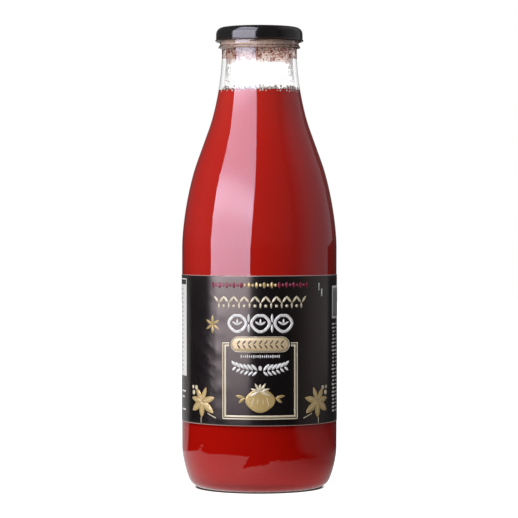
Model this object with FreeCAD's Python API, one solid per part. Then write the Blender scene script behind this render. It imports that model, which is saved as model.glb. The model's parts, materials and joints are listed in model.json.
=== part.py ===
"""A one litre glass juice bottle with its juice, wrap-round label and twist-off lid.

Millimetres. The axis of the bottle is Z, the origin is the middle of the base on the
surface that it stands on, and the front of the label faces -Y.
"""

import FreeCAD
import Part
import math
import os

# Body of the bottle, from the base up
body_radius = 43.6
body_height = 134.1  # base to the start of the shoulder
shoulder_height = 108.5
neck_radius = 21.15
neck_height = 3.5  # straight stretch between the shoulder and the bead
shoulder_straight = 19.5  # slanting straight length in the middle of the shoulder
shoulder_hollow_share = 0.46  # hollow arc's part of the two shoulder radii
wall = 2.25

# Heel and base
heel_radius = 42.7  # arc that draws the body in towards the base
heel_height = 22.4
base_rounding = 4.5  # where the heel turns under
punt_radius = 31.5  # hollow under the base
punt_height = 3.4
floor_thickness = 4.0  # glass over the middle of the hollow
floor_crown = 2.2  # rise of the inner floor from its edge to its middle
inner_heel_width = 9.5
inner_heel_height = 15.0

# Finish: the bead, the threads and the rim that the lid closes on
bead_depth = 1.95  # bead's tip out from the neck
bead_lower = 0.5  # height of the bead's underside
bead_tip = 0.4
bead_upper = 1.4  # height of the bead's upper slope
bead_rounding = 0.18  # lower edge of the bead's tip
bead_root_rounding = 0.8  # upper slope into the finish
finish_radius = 22.2
finish_height = 9.55  # top of the bead to the rim
rim_rounding = 1.7  # outer edge of the rim
rim_inner_rounding = 0.8
thread_count = 4
thread_depth = 1.3
thread_root = 2.3  # axial width at the wall
thread_crest = 1.0
thread_span = 104.0  # degrees round the neck
thread_drop = 5.1  # fall from a thread's start to its end
thread_taper = 11.0  # degrees over which each end runs out
thread_steps = 12
thread_low = 0.5  # lower end's middle above the top of the bead
thread_end_angle = -16.0  # lower end of the first thread, round from +X
sunk = 0.4  # how far a joined piece reaches into the wall that carries it

# Lid, pressed from tinplate
tin = 0.3
lid_gap = 0.25  # thread crest to the rolled edge
curl = 1.1  # rolled edge's thickness
curl_stand = 0.4  # rolled edge proud of the skirt
skirt_draft = 0.15
lid_height = 8.05
panel_gap = 0.7  # bore to the sunk panel's step
panel_depth = 0.6
panel_step = 1.0
button_radius = 9.0
button_depth = 0.4
lug_width = 18.0  # degrees
lug_reach = 0.8  # how far a lug reaches in under its thread
lug_height = 1.1
lug_gap = 0.08  # lug to the thread above it

# Contents and label
headspace = 34.4  # rim down to the juice
meniscus_rise = 1.0
meniscus_width = 2.2
label_thickness = 0.15
label_above_heel = 14.9
label_below_shoulder = 14.5
label_lap = 8.0  # length of the glued overlap
lap_ramp = 3.0

# Heights and radii that follow
neck_start = body_height + shoulder_height
bead_start = neck_start + neck_height
bead_top = bead_start + bead_lower + bead_tip + bead_upper
rim = bead_top + finish_height
bore_radius = neck_radius - wall
thread_radius = finish_radius + thread_depth
thread_bottom = bead_top + thread_low
base_radius = body_radius - heel_radius + math.sqrt(heel_radius**2 - heel_height**2)
lid_top = rim + tin
lid_bottom = lid_top - lid_height
curl_outside = thread_radius + lid_gap + curl
skirt_radius = curl_outside - curl_stand
lid_top_radius = skirt_radius - skirt_draft
lid_rounding = lid_top_radius - (finish_radius - rim_rounding)  # flat as far out as the rim is
juice_level = rim - headspace


def at(radius, height):
    """A point of an outline in the XZ plane."""
    return FreeCAD.Vector(radius, 0, height)


def line(a, b):
    return Part.LineSegment(a, b).toShape()


def arc_about(centre, radius, from_angle, to_angle):
    """An arc in the XZ plane. Angles are in radians from +X towards +Z."""
    a, through, b = (
        at(centre.x + radius * math.cos(t), centre.z + radius * math.sin(t))
        for t in (from_angle, (from_angle + to_angle) / 2, to_angle)
    )
    return Part.Arc(a, through, b).toShape()


def crown(radius, edge_height, middle_height):
    """A shallow dome's outline, from the axis out to the radius."""
    half = at(radius / 2, middle_height - (middle_height - edge_height) / 4)
    return Part.Arc(at(0, middle_height), half, at(radius, edge_height)).toShape()


def quarter_ellipse(inner_radius, outer_radius, bottom, top):
    """From the bottom point, where it is level, out and up to where it is upright."""
    width, height = outer_radius - inner_radius, top - bottom
    centre = at(inner_radius, top)
    if height >= width:
        ellipse = Part.Ellipse(at(inner_radius, bottom), at(outer_radius, top), centre)
    else:
        ellipse = Part.Ellipse(at(outer_radius, top), at(inner_radius, bottom), centre)
    start = ellipse.parameter(at(inner_radius, bottom))
    end = ellipse.parameter(at(outer_radius, top))
    turn = 2 * math.pi
    if (end - start) % turn > math.pi:
        start, end = end, start
    return Part.ArcOfEllipse(ellipse, start, start + (end - start) % turn).toShape()


def shoulder(inset):
    """Three edges from the body up to the neck, drawn in by the inset: a swelling arc, a slant, a hollow arc."""
    narrowing = body_radius - neck_radius
    radii = (narrowing**2 + shoulder_height**2 - shoulder_straight**2) / (2 * narrowing)
    hollow = radii * shoulder_hollow_share
    swelling = radii - hollow
    lean = math.atan2(shoulder_height, radii - narrowing) - math.atan2(shoulder_straight, radii)
    lower = arc_about(at(body_radius - swelling, body_height), swelling - inset, 0, lean)
    upper_centre = at(neck_radius + hollow, neck_start)
    upper = arc_about(upper_centre, hollow + inset, math.pi + lean, math.pi)
    slant = line(lower.valueAt(lower.LastParameter), upper.valueAt(upper.FirstParameter))
    return [lower, slant, upper]


def corners(*points):
    """Straight edges through (radius, height) points."""
    spots = [at(*p) for p in points]
    return [line(a, b) for a, b in zip(spots, spots[1:])]


def turned(edges, degrees=360):
    """The solid swept by a closed outline turned about Z."""
    wire = Part.Wire(Part.__sortEdges__(edges))
    return Part.Face(wire).revolve(FreeCAD.Vector(), FreeCAD.Vector(0, 0, 1), degrees)


def filleted(solid, radius, *places):
    """Rounds the circular edges that pass through these (radius, height) places."""
    edges = [
        edge
        for edge in solid.Edges
        if any(
            abs(edge.BoundBox.ZMin - z) < 1e-4
            and abs(edge.BoundBox.ZMax - z) < 1e-4
            and abs(edge.BoundBox.XMax - r) < 1e-4
            for r, z in places
        )
    ]
    return solid.makeFillet(radius, edges)


def round_array(shape, count):
    """Copies of a shape, evenly spaced round Z."""
    copies = []
    for i in range(count):
        one = shape.copy()
        one.rotate(FreeCAD.Vector(), FreeCAD.Vector(0, 0, 1), 360.0 * i / count)
        copies.append(one)
    return copies


def outer_form():
    """The bottle's outside as a solid form, without its threads."""
    bead_radius = neck_radius + bead_depth
    heel_angle = math.asin(heel_height / heel_radius)
    edges = [crown(punt_radius, 0, punt_height)]
    edges += corners((punt_radius, 0), (base_radius, 0))
    edges += [arc_about(at(body_radius - heel_radius, heel_height), heel_radius, -heel_angle, 0)]
    edges += corners((body_radius, heel_height), (body_radius, body_height))
    edges += shoulder(0)
    edges += corners(
        (neck_radius, neck_start),
        (neck_radius, bead_start),
        (bead_radius, bead_start + bead_lower),
        (bead_radius, bead_start + bead_lower + bead_tip),
        (finish_radius, bead_top),
        (finish_radius, rim),
        (0, rim),
        (0, punt_height),
    )
    form = turned(edges)
    form = filleted(form, base_rounding, (base_radius, 0))
    form = filleted(form, bead_rounding, (bead_radius, bead_start + bead_lower))
    form = filleted(form, rim_rounding, (finish_radius, rim))
    return filleted(form, bead_root_rounding, (finish_radius, bead_top))


def cavity():
    """The space inside the glass, up to the rim."""
    inner_radius = body_radius - wall
    floor_radius = inner_radius - inner_heel_width
    floor_middle = punt_height + floor_thickness
    floor_edge = floor_middle - floor_crown
    edges = [crown(floor_radius, floor_edge, floor_middle)]
    edges += [quarter_ellipse(floor_radius, inner_radius, floor_edge, floor_edge + inner_heel_height)]
    edges += corners((inner_radius, floor_edge + inner_heel_height), (inner_radius, body_height))
    edges += shoulder(wall)
    edges += corners((bore_radius, neck_start), (bore_radius, rim), (0, rim), (0, floor_middle))
    return turned(edges)


def thread():
    """One right-hand thread, lofted up round the neck and running out into the wall at both ends."""
    sections = []
    for i in range(thread_steps + 1):
        angle = thread_span * i / thread_steps
        share = min(1.0, angle / thread_taper, (thread_span - angle) / thread_taper)
        crest = finish_radius - sunk / 2 + (thread_depth + sunk / 2) * share
        middle = thread_bottom + thread_drop * angle / thread_span
        corner_places = (
            (finish_radius - sunk, middle - thread_root / 2),
            (crest, middle - thread_crest / 2),
            (crest, middle + thread_crest / 2),
            (finish_radius - sunk, middle + thread_root / 2),
        )
        section = Part.makePolygon([at(*p) for p in corner_places] + [at(*corner_places[0])])
        section.rotate(FreeCAD.Vector(), FreeCAD.Vector(0, 0, 1), thread_end_angle + angle)
        sections.append(section)
    return Part.makeLoft(sections, True, False)


def glass_bottle(space):
    bottle = outer_form()
    for one in round_array(thread(), thread_count):
        bottle = bottle.fuse(one)
    bottle = bottle.cut(space)
    return filleted(bottle, rim_inner_rounding, (bore_radius, rim))


def tomato_juice(space):
    """The juice fills the bottle to its level and creeps up the glass at its edge."""
    top = juice_level + meniscus_rise
    wall_radius = space.slice(FreeCAD.Vector(0, 0, 1), top)[0].BoundBox.XMax
    flat_radius = wall_radius - meniscus_width
    bend = at(
        flat_radius + meniscus_width * math.sin(math.radians(45)),
        juice_level + meniscus_rise * (1 - math.cos(math.radians(45))),
    )
    outside = wall_radius + wall
    edges = corners((0, juice_level), (flat_radius, juice_level))
    edges.append(Part.Arc(at(flat_radius, juice_level), bend, at(wall_radius, top)).toShape())
    edges += corners((wall_radius, top), (outside, top), (outside, rim), (0, rim), (0, juice_level))
    return space.cut(turned(edges))


def lid_shell():
    """The pressed disc and skirt, open below."""
    step_outer = bore_radius - panel_gap
    step_inner = step_outer - panel_step
    panel = lid_top - panel_depth
    button_edge = button_radius + panel_step
    curl_middle = lid_bottom + curl / 2

    def outline(inset):
        """The outline from the middle of the button out over the edge and down, set in by the inset."""
        return [
            (0, panel - button_depth - inset),
            (button_radius, panel - button_depth - inset),
            (button_edge, panel - inset),
            (step_inner, panel - inset),
            (step_outer, lid_top - inset),
            (lid_top_radius - inset, lid_top - inset),
            (skirt_radius - inset, curl_middle),
        ]

    outside, inside = outline(0), outline(tin)
    shell = turned(corners(*outside, *reversed(inside), outside[0]))
    shell = filleted(shell, lid_rounding, (lid_top_radius, lid_top))
    return filleted(shell, lid_rounding - tin, (lid_top_radius - tin, lid_top - tin))


def lid_lug():
    """A stop pressed in from the rolled edge, which holds under a thread."""
    inner = thread_radius - lug_reach
    outer = curl_outside - curl / 2
    low = lid_bottom + (curl - lug_height) / 2
    edges = corners(
        (inner, low), (outer, low), (outer, low + lug_height), (inner, low + lug_height), (inner, low)
    )
    lug = turned(edges, lug_width)
    thread_width = thread_crest + (thread_root - thread_crest) * lug_reach / (thread_depth + sunk)
    held = low + lug_height + lug_gap + thread_width / 2
    held_angle = (held - thread_bottom) * thread_span / thread_drop
    lug.rotate(FreeCAD.Vector(), FreeCAD.Vector(0, 0, 1), thread_end_angle + held_angle)
    return lug


def twist_lid():
    rolled_edge = Part.makeTorus(
        curl_outside - curl / 2, curl / 2, FreeCAD.Vector(0, 0, lid_bottom + curl / 2)
    )
    lid = lid_shell().fuse(rolled_edge)
    for one in round_array(lid_lug(), thread_count):
        lid = lid.fuse(one)
    return lid


def wrap_label():
    """A paper band glued round the body. Its last end climbs a ramp and laps over its first end, at the back."""
    bottom = heel_height + label_above_heel
    height = body_height - label_below_shoulder - bottom
    inner, outer = body_radius, body_radius + label_thickness
    band = Part.makeCylinder(outer, height, FreeCAD.Vector(0, 0, bottom))
    lap_outer = outer + label_thickness
    lap, ramp = label_lap / outer, lap_ramp / outer
    back = math.pi / 2

    def around(radius, angle):
        return FreeCAD.Vector(radius * math.cos(back + angle), radius * math.sin(back + angle), bottom)

    edges = [
        Part.Arc(around(lap_outer, 0), around(lap_outer, lap / 2), around(lap_outer, lap)).toShape(),
        line(around(lap_outer, lap), around(outer, lap + ramp)),
        line(around(outer, lap + ramp), around(inner, lap + ramp)),
        Part.Arc(around(inner, lap + ramp), around(inner, lap / 2), around(inner, 0)).toShape(),
        line(around(inner, 0), around(lap_outer, 0)),
    ]
    lapped = Part.Face(Part.Wire(edges)).extrude(FreeCAD.Vector(0, 0, height))
    glass = Part.makeCylinder(inner, height, FreeCAD.Vector(0, 0, bottom))
    return band.fuse(lapped).cut(glass).removeSplitter()


def single_solid(shape):
    """The one solid that a piece is made of."""
    solids = shape.Solids
    if len(solids) != 1 or not solids[0].isValid():
        raise ValueError("a piece is not one valid solid: %d solids" % len(solids))
    return solids[0]


def main():
    space = cavity()
    pieces = {
        "glass_bottle": glass_bottle(space),
        "tomato_juice": tomato_juice(space),
        "twist_lid": twist_lid(),
        "wrap_label": wrap_label(),
    }
    os.makedirs("parts", exist_ok=True)
    for name, shape in pieces.items():
        solid = single_solid(shape)
        solid.exportStep("parts/%s.step" % name)
        print("%s: %.1f cm3, %s" % (name, solid.Volume / 1000, solid.BoundBox))


main()
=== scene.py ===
import json
import math
import random

import bmesh
import bpy
from mathutils import Matrix, Vector, noise

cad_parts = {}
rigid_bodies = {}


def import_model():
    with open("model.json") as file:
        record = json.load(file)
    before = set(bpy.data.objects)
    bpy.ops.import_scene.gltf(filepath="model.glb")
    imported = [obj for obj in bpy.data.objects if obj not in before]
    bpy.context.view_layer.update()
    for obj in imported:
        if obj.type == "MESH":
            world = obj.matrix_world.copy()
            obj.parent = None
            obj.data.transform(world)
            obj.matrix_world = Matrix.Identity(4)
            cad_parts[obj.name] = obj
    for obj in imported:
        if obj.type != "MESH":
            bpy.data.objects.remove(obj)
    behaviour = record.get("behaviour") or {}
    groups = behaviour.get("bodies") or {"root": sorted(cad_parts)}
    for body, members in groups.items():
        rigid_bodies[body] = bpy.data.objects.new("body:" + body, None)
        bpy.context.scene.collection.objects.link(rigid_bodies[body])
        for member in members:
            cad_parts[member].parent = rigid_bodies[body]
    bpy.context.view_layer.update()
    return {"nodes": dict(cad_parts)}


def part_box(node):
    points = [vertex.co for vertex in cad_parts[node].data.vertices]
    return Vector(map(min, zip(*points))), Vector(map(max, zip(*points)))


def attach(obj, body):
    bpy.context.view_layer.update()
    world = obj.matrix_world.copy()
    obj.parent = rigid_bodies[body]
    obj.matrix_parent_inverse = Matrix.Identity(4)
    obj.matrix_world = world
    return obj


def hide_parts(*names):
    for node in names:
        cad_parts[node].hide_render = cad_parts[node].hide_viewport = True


for leftOver in list(bpy.data.objects):
    bpy.data.objects.remove(leftOver)

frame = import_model()
scene = bpy.context.scene
random.seed(7)
mm = 0.001
print("frame loaded:", sorted(frame["nodes"]))


def linear(hexColour):  # an sRGB hex value as the linear colour that nodes take
    parts = [int(hexColour[i : i + 2], 16) / 255 for i in (1, 3, 5)]
    return [p / 12.92 if p <= 0.04045 else ((p + 0.055) / 1.055) ** 2.4 for p in parts] + [1.0]


# links gives each input a value, another node's output, or a node that stands for its first output
def addNode(tree, kind, links=None, **settings):
    made = tree.nodes.new("ShaderNode" + kind)
    for name, value in settings.items():
        setattr(made, name, value)
    for socket, value in (links or {}).items():
        value = value.outputs[0] if isinstance(value, bpy.types.Node) else value
        if isinstance(value, bpy.types.NodeSocket):
            tree.links.new(value, made.inputs[socket])
        else:
            made.inputs[socket].default_value = value
    return made


def newMaterial(name):
    made = bpy.data.materials.new(name)
    made.use_nodes = True
    made.node_tree.nodes.clear()
    return made, made.node_tree


def rampStops(ramp, stops):  # stops are (position, colour) pairs
    elements = ramp.color_ramp.elements
    while len(elements) < len(stops):
        elements.new(0.5)
    for element, (position, colour) in zip(elements, stops):
        element.position = position
        element.color = colour
    return ramp


# camera and light

view = {
    "place": (-0.0002, -1.363, 0.15085),
    "pitch": 0.96,  # degrees down
    "lens": 168.0,
}
cameraData = bpy.data.cameras.new("camera")
cameraData.lens = view["lens"]
cameraData.sensor_width = 36
cameraData.clip_start = 0.05
camera = bpy.data.objects.new("camera", cameraData)
camera.location = view["place"]
camera.rotation_euler = (math.radians(90 - view["pitch"]), 0, 0)
scene.collection.objects.link(camera)
scene.camera = camera
scene.view_settings.view_transform = "Standard"

light = {
    "keyPower": 8.1,
    "keySize": 0.9,
    "keyAzimuth": 42,  # degrees to the left of the front
    "keyHeight": 10,  # degrees above the bottle's middle
    "keyDistance": 0.9,
    "aim": 0.13,  # the height of the bottle's middle
    "ambient": 0.42,
    "throughGlass": 0.13,  # how much brighter the backdrop is through glass, for what the glass turns back
    "studioHigh": 0.09,  # what the unlit room gives to reflections, above and below the table's level
    "studioLow": 0.004,
    "leftFill": 0.13,  # and what it adds far to the left, and far to the right
    "rightFill": 0.05,
    "fillRange": (0.2, 0.7),  # from ahead, 0, to the side, 1
    "fillFade": (0.2, 0.6),  # from the side, 0, to the back, 1
    "backdropEdge": (0.978, 0.995),  # where the lit backdrop begins, on the same measure
    "panelDistance": 1.0,
    "softboxColour": (0.95, 0.98, 1.26),
    "softboxLevels": (  # height, strength
        (-0.12, 2.8),
        (0.08, 5.7),
        (0.17, 7.2),
        (0.33, 7.5),
        (0.45, 9.8),
        (0.58, 8.4),
        (0.66, 6.6),
        (0.78, 6.0),
        (1.3, 6.0),
        (2.6, 8.0),
    ),
    "softboxCorners": ((75, -0.2), (16.5, -0.2), (7, 0.7), (7, 2.6), (112, 2.6), (75, 1.1)),  # azimuth, height
    "cardColour": (0.96, 0.95, 1.06),
    "cardStrength": 0.42,
    "cardWeakest": 0.08,
    "cardCorners": (
        (-50, -0.3),
        (-120, -0.3),
        (-120, 0.135),
        (-138, 0.165),
        (-138, 0.56),
        (-150, 0.62),
        (-150, 1.5),
        (-50, 1.5),
    ),
}


def aside(azimuth, distance, height):  # azimuth in degrees from the front, positive to the left
    turn = math.radians(azimuth)
    return Vector((-math.sin(turn) * distance, -math.cos(turn) * distance, height))


keyData = bpy.data.lights.new("keyLamp", "AREA")
keyData.energy = light["keyPower"]
keyData.size = light["keySize"]
key = bpy.data.objects.new("keyLamp", keyData)
rise = math.radians(light["keyHeight"])
keyReach = light["keyDistance"] * math.cos(rise)
key.location = aside(light["keyAzimuth"], keyReach, light["aim"] + light["keyDistance"] * math.sin(rise))
key.rotation_euler = (Vector((0, 0, light["aim"])) - key.location).to_track_quat("-Z", "Y").to_euler()
key.visible_glossy = False
key.visible_camera = False
key.visible_transmission = False
scene.collection.objects.link(key)

world = bpy.data.worlds.new("studio")
world.use_nodes = True
scene.world = world
tree = world.node_tree
tree.nodes.clear()
path = addNode(tree, "LightPath").outputs
direction = addNode(tree, "TexCoord").outputs["Generated"]
parts = addNode(tree, "SeparateXYZ", {"Vector": direction}).outputs
levels = {"To Min": light["studioLow"], "To Max": light["studioHigh"]}
room = addNode(tree, "MapRange", {"Value": parts["Z"], "From Min": -0.06, "From Max": 0.1, **levels})
near, far = light["fillRange"]
left, right = [
    addNode(tree, "MapRange", {"Value": parts["X"], "From Min": near * side, "From Max": far * side, "To Max": fill})
    for side, fill in ((-1, light["leftFill"]), (1, light["rightFill"]))
]
sides = addNode(tree, "Math", {0: left, 1: right}, operation="ADD")
near, far = light["fillFade"]
fading = addNode(
    tree, "MapRange", {"Value": parts["Y"], "From Min": near, "From Max": far, "To Min": 1.0, "To Max": 0.2}
)
lit = addNode(tree, "Math", {0: sides, 1: fading, 2: room}, operation="MULTIPLY_ADD")
near, far = light["backdropEdge"]
behind = addNode(
    tree, "MapRange", {"Value": parts["Y"], "From Min": near, "From Max": far, "To Min": lit, "To Max": 1.0}
)
through = path["Is Transmission Ray"]
seen = addNode(tree, "Math", {0: path["Is Camera Ray"], 1: through}, operation="MAXIMUM")
unlit = addNode(tree, "Mix", {"Factor": path["Is Glossy Ray"], 2: light["ambient"], 3: behind}, data_type="FLOAT")
white = addNode(tree, "Math", {0: through, 1: light["throughGlass"], 2: 1.0}, operation="MULTIPLY_ADD")
level = addNode(tree, "Mix", {"Factor": seen, 2: unlit, 3: white}, data_type="FLOAT")
sky = addNode(tree, "Background", {"Color": (1, 1, 1, 1), "Strength": level})
addNode(tree, "OutputWorld", {"Surface": sky})


def card(name, corners, material):
    mesh = bmesh.new()
    mesh.faces.new([mesh.verts.new(corner) for corner in corners])
    data = bpy.data.meshes.new(name)
    mesh.to_mesh(data)
    mesh.free()
    data.materials.append(material)
    made = bpy.data.objects.new(name, data)
    scene.collection.objects.link(made)
    return made


def glowingCard(name, cloth, corners, colour, strength):  # only reflections see it; strength is a function of its nodes
    material, tree = newMaterial(cloth)
    glow = addNode(tree, "Emission", {"Color": (*colour, 1), "Strength": strength(tree)})
    addNode(tree, "OutputMaterial", {"Surface": glow})
    material.cycles.emission_sampling = "NONE"
    panel = card(name, [aside(azimuth, light["panelDistance"], height) for azimuth, height in corners], material)
    for rays in ("camera", "diffuse", "transmission", "shadow", "volume_scatter"):
        setattr(panel, "visible_" + rays, False)


def softboxFade(tree):  # brightest a little above the table, dim at its lower edge
    levels = light["softboxLevels"]
    low, high, most = levels[0][0], levels[-1][0], max(strength for height, strength in levels)
    place = addNode(tree, "TexCoord").outputs["Object"]
    parts = addNode(tree, "SeparateXYZ", {"Vector": place}).outputs
    share = addNode(tree, "MapRange", {"Value": parts["Z"], "From Min": low, "From Max": high})
    curve = addNode(tree, "ValToRGB", {"Fac": share})
    curve.color_ramp.interpolation = "CARDINAL"
    rampStops(curve, [((height - low) / (high - low), [strength / most] * 3 + [1]) for height, strength in levels])
    return addNode(tree, "Math", {0: curve, 1: most}, operation="MULTIPLY")


def cardFade(tree):  # the card brightens from its front edge on
    place = addNode(tree, "TexCoord").outputs["Object"]
    parts = addNode(tree, "SeparateXYZ", {"Vector": place}).outputs
    levels = {"To Min": light["cardWeakest"], "To Max": light["cardStrength"]}
    return addNode(
        tree,
        "MapRange",
        {"Value": parts["Y"], "From Min": -0.65, "From Max": 0.0, **levels},
        interpolation_type="SMOOTHSTEP",
    )


glowingCard("softbox", "softboxCloth", light["softboxCorners"], light["softboxColour"], softboxFade)
glowingCard("greyCard", "greyCardPaper", light["cardCorners"], light["cardColour"], cardFade)

# the floor is white to the eye and keeps the bottle's shadow
# reflections and bounced light see a white board near the bottle
board = {
    "left": -0.26,  # its edges
    "right": 0.115,
    "back": 0.4,
    "softEdge": 0.003,
    "deepest": 0.14,
    "front": (  # from left to right, what share of the deepest the front edge reaches
        (0, 0),
        (0.16, 0.25),
        (0.26, 0.43),
        (0.37, 0.88),
        (0.615, 0.95),
        (0.635, 0.5),
        (0.68, 0.52),
        (0.78, 0.62),
        (0.9, 0.5),
        (1, 0),
    ),
    "ragged": 0.85,
    "raggedWidth": 16.13,  # in millimetres
    "rim": 1.3,  # brighter along its front edge
    "rimWidth": 0.02,
    "glow": ((0, 0.85), (0.42, 0.95), (0.55, 0.72), (0.75, 0.5), (1, 0.2)),
    "glowFrom": -0.09,
    "glowTo": 0.08,
    "bounce": 0.38,
    "bounceFrom": 0.044,  # full within this reach of the axis, and none past the next
    "bounceTo": 0.075,
    "white": 0.93,  # what it gives to the eye beside its own shade
    # a painted contact shadow: the floor is painted dark to the eye near where the bottle stands
    "contact": (0.0352, 0.0372),  # dark to the eye within this reach of the next place, where the bottle stands
    "contactPlace": 0.0032,  # before the axis
    "paintedShadowLevel": 0.12,
    "rearGlow": 0.52,  # the bright table behind and to the left
    "rearSlant": 0.68,
    "sideGlow": 0.2,  # and to the right
    "height": -0.0002,
    "half": 3,
}


def floorRamp(tree, value, low, high, stops):
    share = addNode(tree, "MapRange", {"Value": value, "From Min": low, "From Max": high})
    ramp = addNode(tree, "ValToRGB", {"Fac": share})
    return rampStops(ramp, [(place, [level] * 3 + [1]) for place, level in stops])


# how much of the board a reflection sees at a place on the floor, and what it sees there
def boardLight(tree, place):
    parts = addNode(tree, "SeparateXYZ", {"Vector": place}).outputs
    across, back = parts["X"], parts["Y"]
    scale = 1000 / board["raggedWidth"]
    waves = addNode(tree, "TexNoise", {"Vector": place, "Scale": scale, "Detail": 3.0, "Roughness": 0.7})
    shift = addNode(tree, "Math", {0: waves, 1: 0.5}, operation="SUBTRACT")
    outline = floorRamp(tree, across, board["left"], board["right"], board["front"])
    depth = addNode(tree, "Math", {0: outline, 1: board["deepest"], 2: back}, operation="MULTIPLY_ADD")
    slanted = addNode(tree, "Math", {0: across, 1: back}, operation="SUBTRACT")
    reach = addNode(tree, "VectorMath", {0: place}, operation="LENGTH").outputs["Value"]
    uneven = addNode(tree, "Math", {0: shift, 1: reach}, operation="MULTIPLY")
    share = None
    for value, edge, side in (
        (depth, 0.0, 1),
        (back, board["back"], -1),
        (slanted, board["left"], 1),
        (across, board["right"], -1),
    ):
        moved = addNode(tree, "Math", {0: uneven, 1: board["ragged"] * side, 2: value}, operation="MULTIPLY_ADD")
        soft = board["softEdge"] * side
        inside = addNode(tree, "MapRange", {"Value": moved, "From Min": edge - soft, "From Max": edge + soft})
        share = addNode(tree, "Math", {0: share, 1: inside}, operation="MULTIPLY") if share else inside
    glow = floorRamp(tree, across, board["glowFrom"], board["glowTo"], board["glow"])
    rim = addNode(
        tree, "MapRange", {"Value": depth, "From Max": board["rimWidth"], "To Min": board["rim"], "To Max": 1.0}
    )
    glow = addNode(tree, "Math", {0: glow, 1: rim}, operation="MULTIPLY")
    rear = addNode(tree, "Math", {0: across, 1: board["rearSlant"], 2: back}, operation="MULTIPLY_ADD")
    rearLevel = addNode(
        tree, "MapRange", {"Value": rear, "From Min": -0.01, "From Max": 0.015, "To Max": board["rearGlow"]}
    )
    onLeft = addNode(tree, "Math", {0: across, 1: 0.0}, operation="LESS_THAN")
    rearPart = addNode(tree, "Math", {0: rearLevel, 1: onLeft}, operation="MULTIPLY")
    toRight = addNode(tree, "Math", {0: across, 1: back}, operation="ADD")
    sideLevel = addNode(
        tree, "MapRange", {"Value": toRight, "From Min": 0.04, "From Max": 0.14, "To Max": board["sideGlow"]}
    )
    fading = addNode(
        tree, "MapRange", {"Value": back, "From Min": 0.0, "From Max": 0.2, "To Min": 1.0, "To Max": 0.2}
    )
    sidePart = addNode(tree, "Math", {0: sideLevel, 1: fading}, operation="MULTIPLY")
    around = addNode(tree, "Math", {0: rearPart, 1: sidePart}, operation="MAXIMUM")
    return share, addNode(tree, "Mix", {"Factor": share, 2: around, 3: glow}, data_type="FLOAT")


floorMaterial, tree = newMaterial("paleFloor")
path = addNode(tree, "LightPath").outputs
place = addNode(tree, "TexCoord").outputs["Object"]
onBoard, boardGlow = boardLight(tree, place)
reach = addNode(tree, "VectorMath", {0: place}, operation="LENGTH").outputs["Value"]
before = addNode(tree, "VectorMath", {0: place, 1: (0.0, board["contactPlace"], 0.0)}, operation="ADD")
fromContact = addNode(tree, "VectorMath", {0: before}, operation="LENGTH").outputs["Value"]
edges = {"From Min": board["bounceFrom"], "From Max": board["bounceTo"]}
nearBottle = addNode(tree, "MapRange", {"Value": reach, **edges, "To Min": board["bounce"], "To Max": 0.0})
nearest, clear = board["contact"]
openFloor = addNode(tree, "MapRange", {"Value": fromContact, "From Min": nearest, "From Max": clear})
openWhite = addNode(tree, "Math", {0: openFloor, 1: board["white"]}, operation="MULTIPLY")
eye, mirrored, bounced = (path["Is %s Ray" % kind] for kind in ("Camera", "Glossy", "Diffuse"))
cameraPart = addNode(tree, "Math", {0: eye, 1: openWhite}, operation="MULTIPLY")
glossyPart = addNode(tree, "Math", {0: mirrored, 1: boardGlow, 2: cameraPart}, operation="MULTIPLY_ADD")
glowLevel = addNode(tree, "Math", {0: bounced, 1: nearBottle, 2: glossyPart}, operation="MULTIPLY_ADD")
glow = addNode(tree, "Emission", {"Color": (1, 1, 1, 1), "Strength": glowLevel})
# painted contact shadow: near the bottle the eye's white fades out and the floor's own colour is darkened
paintedShadowShare = addNode(tree, "Math", {0: 1.0, 1: openFloor}, operation="SUBTRACT")
toEye = addNode(tree, "Math", {0: paintedShadowShare, 1: eye}, operation="MULTIPLY")
shade = addNode(tree, "MapRange", {"Value": toEye, "To Min": 1.0, "To Max": board["paintedShadowLevel"]})
pale = addNode(tree, "VectorMath", {0: linear("#E4E4E4")[:3], "Scale": shade}, operation="SCALE")
matte = addNode(tree, "BsdfDiffuse", {"Color": pale})
blank = addNode(tree, "BsdfDiffuse", {"Color": (0, 0, 0, 1)})
# painted shade: to reflections the table is black but for the board's glow, and to bounced light it is black off the
# board
unseen = addNode(tree, "Math", {0: 1.0, 1: onBoard}, operation="SUBTRACT")
darkTable = addNode(tree, "Math", {0: bounced, 1: unseen, 2: mirrored}, operation="MULTIPLY_ADD")
seenMatte = addNode(tree, "MixShader", {0: darkTable, 1: matte, 2: blank})
both = addNode(tree, "AddShader", {0: seenMatte, 1: glow})
addNode(tree, "OutputMaterial", {"Surface": both})
floorMaterial.cycles.emission_sampling = "NONE"
half = board["half"]
floorCorners = ((-half, -half), (half, -half), (half, half), (-half, half))
card("floor", [(x, y, board["height"]) for x, y in floorCorners], floorMaterial)
print("camera, lamps and floor made")


# shapes


# each corner is radius, height and, for a rounded one, rounding and segments, in millimetres
def turnedOutline(corners):
    mesh = bmesh.new()
    points = [mesh.verts.new((corner[0] * mm, 0, corner[1] * mm)) for corner in corners]
    for a, b in zip(points, points[1:]):
        mesh.edges.new((a, b))
    for i, (point, corner) in enumerate(zip(points, corners)):
        if len(corner) > 2:
            into = Vector(corner[:2]) - Vector(corners[i - 1][:2])
            turn = into.angle(Vector(corners[i + 1][:2]) - Vector(corner[:2]))
            bmesh.ops.bevel(
                mesh,
                geom=[point],
                offset=corner[2] * mm * math.tan(turn / 2),
                offset_type="OFFSET",
                affect="VERTICES",
                segments=corner[3],
                profile=0.5,
                material=-1,
            )
    return mesh


def spinRound(mesh, steps):
    bmesh.ops.spin(
        mesh,
        geom=mesh.verts[:] + mesh.edges[:],
        cent=(0, 0, 0),
        axis=(0, 0, 1),
        angle=2 * math.pi,
        steps=steps,
        use_merge=True,
    )
    bmesh.ops.remove_doubles(mesh, verts=mesh.verts[:], dist=0.002 * mm)
    bmesh.ops.recalc_face_normals(mesh, faces=mesh.faces[:])


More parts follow.
